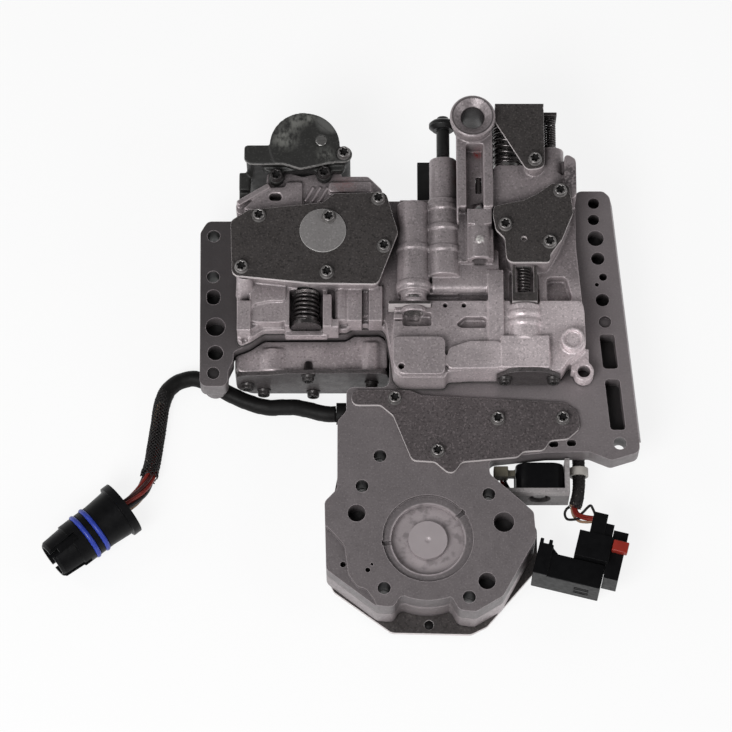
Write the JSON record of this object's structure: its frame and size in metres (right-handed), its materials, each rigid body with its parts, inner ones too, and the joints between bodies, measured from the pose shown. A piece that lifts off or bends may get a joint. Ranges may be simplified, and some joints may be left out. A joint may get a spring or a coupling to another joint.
{
  "type": "transmission valve body",
  "caption": "Automatic transmission valve body: stacked aluminium castings with sheet steel covers, spool valves, springs, a solenoid, a sensor and a wiring harness.",
  "frame": {"origin": "centre of the accumulator seat in the machined case face", "axes": "+Z out of the case face, +Y along the valve bores away from the lobe, +X towards the slanted strip"},
  "size_m": [0.3341, 0.2938, 0.081],
  "materials": {
    "cast_aluminium": "as-cast, oily, speckled",
    "machined_aluminium": "milled face with stains",
    "dark_casting": "dark grey casting with chalky smears",
    "cover_steel": "dark phosphated sheet with bright sheared edges",
    "stiffener_steel": "grey rolled sheet",
    "separator_steel": "thin dark sheet",
    "screw_steel": "black oxide with worn rims",
    "valve_aluminium": "turned and polished",
    "black_valve": "hard black anodise",
    "spring_steel": "dark oiled wire",
    "bright_steel": "polished ball",
    "tag_steel": "plain grey disc",
    "bracket_alloy": "pale grey bracket",
    "black_plastic": "black moulding",
    "white_nylon": "white nylon",
    "red_plastic": "red moulding",
    "blue_seal": "blue rubber",
    "black_rubber": "black rubber",
    "braid": "black braided sleeve with reddish wires under it",
    "wire": "insulated wires"
  },
  "bodies": {
    "housing": {"transfer_plate": "machined_aluminium", "upper_separator": "separator_steel", "lower_separator": "separator_steel", "lower_housing": "cast_aluminium", "bottom_cover": "cover_steel", "upper_housing": "cast_aluminium", "accumulator_housing": "dark_casting", "accumulator_cover": "dark_casting", "accumulator_plug": "valve_aluminium", "accumulator_spring": "spring_steel", "left_cover_plate": "cover_steel", "id_tag": "tag_steel", "right_cover_plate": "cover_steel", "stiffener_plate": "stiffener_steel", "regulator_bracket": "cover_steel", "spring_bracket": "cover_steel", "left_end_cover": "stiffener_steel", "right_end_cover": "stiffener_steel", "rear_stop_bracket": "black_valve", "regulator_spring": "spring_steel", "switch_spring": "spring_steel", "throttle_spring": "spring_steel", "shuttle_spring": "spring_steel", "shuttle_seat": "spring_steel", "boost_spring": "spring_steel", "boost_plug": "valve_aluminium", "boost_retainer": "cover_steel", "shift_spring_12": "spring_steel", "shift_spring_23": "spring_steel", "detent_spring": "spring_steel", "check_balls": "bright_steel", "cover_screws": "screw_steel", "stiffener_screws": "screw_steel", "end_cover_screws": "screw_steel", "housing_screws": "screw_steel", "solenoid_bracket": "bracket_alloy", "solenoid_coil": "black_plastic", "solenoid_terminal": "white_nylon", "sensor_block": "black_plastic", "sensor_connector": "black_plastic", "loom_clip": "white_nylon", "case_connector": "black_plastic", "connector_seals": "blue_seal", "harness_main": "braid", "harness_branch": "braid", "branch_wires": "wire", "harness_grommets": "black_rubber"},
    "manual_valve": {"manual_valve": "black_valve"},
    "regulator_valve": {"regulator_valve": "valve_aluminium"},
    "switch_valve": {"switch_valve": "valve_aluminium"},
    "throttle_valve": {"throttle_valve": "valve_aluminium"},
    "kickdown_plunger": {"kickdown_plunger": "valve_aluminium"},
    "shuttle_valve": {"shuttle_valve": "valve_aluminium"},
    "boost_valve": {"boost_valve": "valve_aluminium"},
    "shift_valve_12": {"shift_valve_12": "valve_aluminium"},
    "shift_valve_23": {"shift_valve_23": "valve_aluminium"},
    "detent_ball": {"detent_ball": "bright_steel"},
    "accumulator_piston": {"accumulator_piston": "valve_aluminium"},
    "solenoid_plunger": {"solenoid_plunger": "spring_steel"},
    "connector_lock": {"connector_lock": "red_plastic"}
  },
  "joints": [
    {"name": "manual_valve_slide", "type": "slide", "parent": "housing", "child": "manual_valve", "axis": [0, 1, 0], "range_m": [-0.012, 0.01]},
    {"name": "regulator_valve_slide", "type": "slide", "parent": "housing", "child": "regulator_valve", "axis": [0, 1, 0], "range_m": [0, 0.005], "stiffness_N_per_m": 300, "springref_m": -0.004, "deforming": ["regulator_spring"]},
    {"name": "switch_valve_slide", "type": "slide", "parent": "housing", "child": "switch_valve", "axis": [0, 1, 0], "range_m": [0, 0.004], "stiffness_N_per_m": 120, "springref_m": -0.003, "deforming": ["switch_spring"]},
    {"name": "throttle_valve_slide", "type": "slide", "parent": "housing", "child": "throttle_valve", "axis": [0, 1, 0], "range_m": [0, 0.004], "stiffness_N_per_m": 150, "springref_m": -0.003, "deforming": ["throttle_spring"]},
    {"name": "kickdown_plunger_slide", "type": "slide", "parent": "housing", "child": "kickdown_plunger", "axis": [0, -1, 0], "range_m": [0, 0.003], "stiffness_N_per_m": 120, "springref_m": -0.003, "deforming": ["throttle_spring"]},
    {"name": "shuttle_valve_slide", "type": "slide", "parent": "housing", "child": "shuttle_valve", "axis": [0, -1, 0], "range_m": [0, 0.004], "stiffness_N_per_m": 200, "springref_m": -0.004, "deforming": ["shuttle_spring"]},
    {"name": "boost_valve_slide", "type": "slide", "parent": "housing", "child": "boost_valve", "axis": [0, -1, 0], "range_m": [0, 0.004], "stiffness_N_per_m": 150, "springref_m": -0.003, "deforming": ["boost_spring"]},
    {"name": "shift_valve_12_slide", "type": "slide", "parent": "housing", "child": "shift_valve_12", "axis": [0, 1, 0], "range_m": [0, 0.005], "stiffness_N_per_m": 200, "springref_m": -0.004, "deforming": ["shift_spring_12"]},
    {"name": "shift_valve_23_slide", "type": "slide", "parent": "housing", "child": "shift_valve_23", "axis": [0, 1, 0], "range_m": [0, 0.005], "stiffness_N_per_m": 200, "springref_m": -0.004, "deforming": ["shift_spring_23"]},
    {"name": "detent_ball_slide", "type": "slide", "parent": "housing", "child": "detent_ball", "axis": [0, -1, 0], "range_m": [0, 0.003], "stiffness_N_per_m": 50, "springref_m": -0.003, "deforming": ["detent_spring"]},
    {"name": "accumulator_piston_slide", "type": "slide", "parent": "housing", "child": "accumulator_piston", "axis": [0, 0, 1], "range_m": [0, 0.008], "stiffness_N_per_m": 200, "springref_m": -0.003, "deforming": ["accumulator_spring"]},
    {"name": "solenoid_plunger_slide", "type": "slide", "parent": "housing", "child": "solenoid_plunger", "axis": [0, 1, 0], "range_m": [0, 0.0015], "stiffness_N_per_m": 100, "springref_m": -0.002},
    {"name": "connector_lock_slide", "type": "slide", "parent": "housing", "child": "connector_lock", "axis": [0.9703, -0.2419, 0], "range_m": [0, 0.003]}
  ]
}
